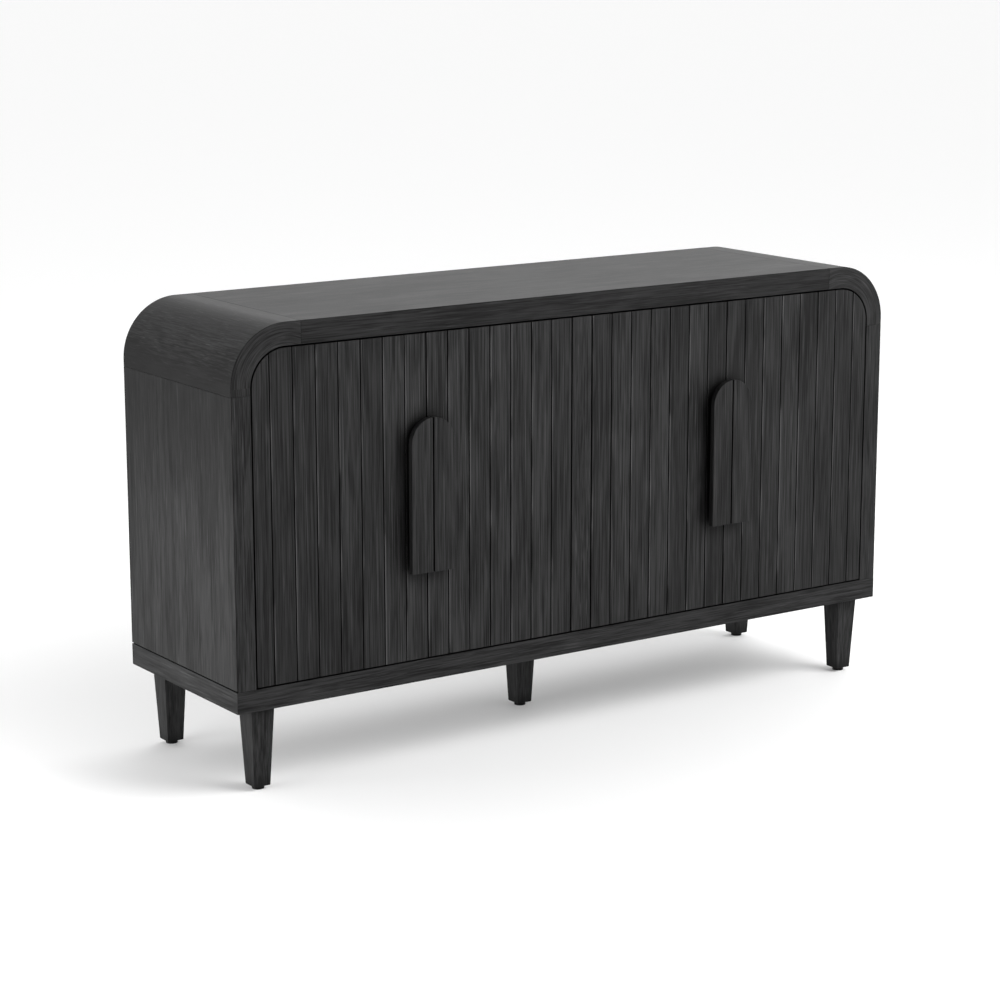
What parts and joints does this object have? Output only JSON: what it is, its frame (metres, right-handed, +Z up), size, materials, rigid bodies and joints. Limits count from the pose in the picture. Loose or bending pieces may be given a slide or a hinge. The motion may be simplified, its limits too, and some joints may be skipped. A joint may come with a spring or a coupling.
{
  "type": "sideboard buffet",
  "caption": "Long low storage cabinet with rounded top corners, slatted hinged doors with arched split pulls, a shelf in each bay, and short tapered legs.",
  "frame": {"origin": "on the floor, below the middle of the box that holds the cabinet and its pulls", "axes": "+X to the right along the front, +Y from the doors to the back, +Z up; the front faces -Y"},
  "size_m": [1.524, 0.4396, 0.864],
  "materials": {
    "charcoal_wood": "wire-brushed near-black oak with a thin matt lacquer",
    "inner_wood": "smooth dark stained board",
    "hinge_steel": "nickel-plated pressed steel",
    "glide_plastic": "moulded black"
  },
  "bodies": {
    "cabinet": {"back_panel": "inner_wood", "base_cross_rail": "inner_wood", "base_rail_back": "charcoal_wood", "base_rail_front": "charcoal_wood", "base_rail_left": "charcoal_wood", "base_rail_right": "charcoal_wood", "bottom_panel": "inner_wood", "centre_stile": "charcoal_wood", "corner_shell_left": "charcoal_wood", "corner_shell_right": "charcoal_wood", "frame_corner_left": "charcoal_wood", "frame_corner_right": "charcoal_wood", "glide_back_left": "glide_plastic", "glide_back_right": "glide_plastic", "glide_centre": "glide_plastic", "glide_front_left": "glide_plastic", "glide_front_right": "glide_plastic", "hinge_arm_1_lower": "hinge_steel", "hinge_arm_1_upper": "hinge_steel", "hinge_arm_2_lower": "hinge_steel", "hinge_arm_2_upper": "hinge_steel", "hinge_arm_3_lower": "hinge_steel", "hinge_arm_3_upper": "hinge_steel", "hinge_arm_4_lower": "hinge_steel", "hinge_arm_4_upper": "hinge_steel", "leg_back_left": "charcoal_wood", "leg_back_right": "charcoal_wood", "leg_centre": "charcoal_wood", "leg_front_left": "charcoal_wood", "leg_front_right": "charcoal_wood", "partition": "inner_wood", "shelf_cleat_left_inner": "inner_wood", "shelf_cleat_left_outer": "inner_wood", "shelf_cleat_right_inner": "inner_wood", "shelf_cleat_right_outer": "inner_wood", "shelf_left": "inner_wood", "shelf_right": "inner_wood", "side_panel_left": "charcoal_wood", "side_panel_right": "charcoal_wood", "stile_left": "charcoal_wood", "stile_right": "charcoal_wood", "top_panel": "charcoal_wood", "top_rail": "charcoal_wood"},
    "door_1": {"door_1": "charcoal_wood", "handle_1": "charcoal_wood", "hinge_cup_1_lower": "hinge_steel", "hinge_cup_1_upper": "hinge_steel"},
    "door_2": {"door_2": "charcoal_wood", "handle_2": "charcoal_wood", "hinge_cup_2_lower": "hinge_steel", "hinge_cup_2_upper": "hinge_steel"},
    "door_3": {"door_3": "charcoal_wood", "handle_3": "charcoal_wood", "hinge_cup_3_lower": "hinge_steel", "hinge_cup_3_upper": "hinge_steel"},
    "door_4": {"door_4": "charcoal_wood", "handle_4": "charcoal_wood", "hinge_cup_4_lower": "hinge_steel", "hinge_cup_4_upper": "hinge_steel"}
  },
  "joints": [
    {"name": "door_1_hinge", "type": "hinge", "parent": "cabinet", "child": "door_1", "pos_m": [-0.7214, -0.19625, 0.199], "axis": [0, 0, -1], "range_deg": [0, 105]},
    {"name": "door_2_hinge", "type": "hinge", "parent": "cabinet", "child": "door_2", "pos_m": [-0.0236, -0.19625, 0.199], "axis": [0, 0, 1], "range_deg": [0, 85]},
    {"name": "door_3_hinge", "type": "hinge", "parent": "cabinet", "child": "door_3", "pos_m": [0.0236, -0.19625, 0.199], "axis": [0, 0, -1], "range_deg": [0, 85]},
    {"name": "door_4_hinge", "type": "hinge", "parent": "cabinet", "child": "door_4", "pos_m": [0.7214, -0.19625, 0.199], "axis": [0, 0, 1], "range_deg": [0, 105]}
  ]
}
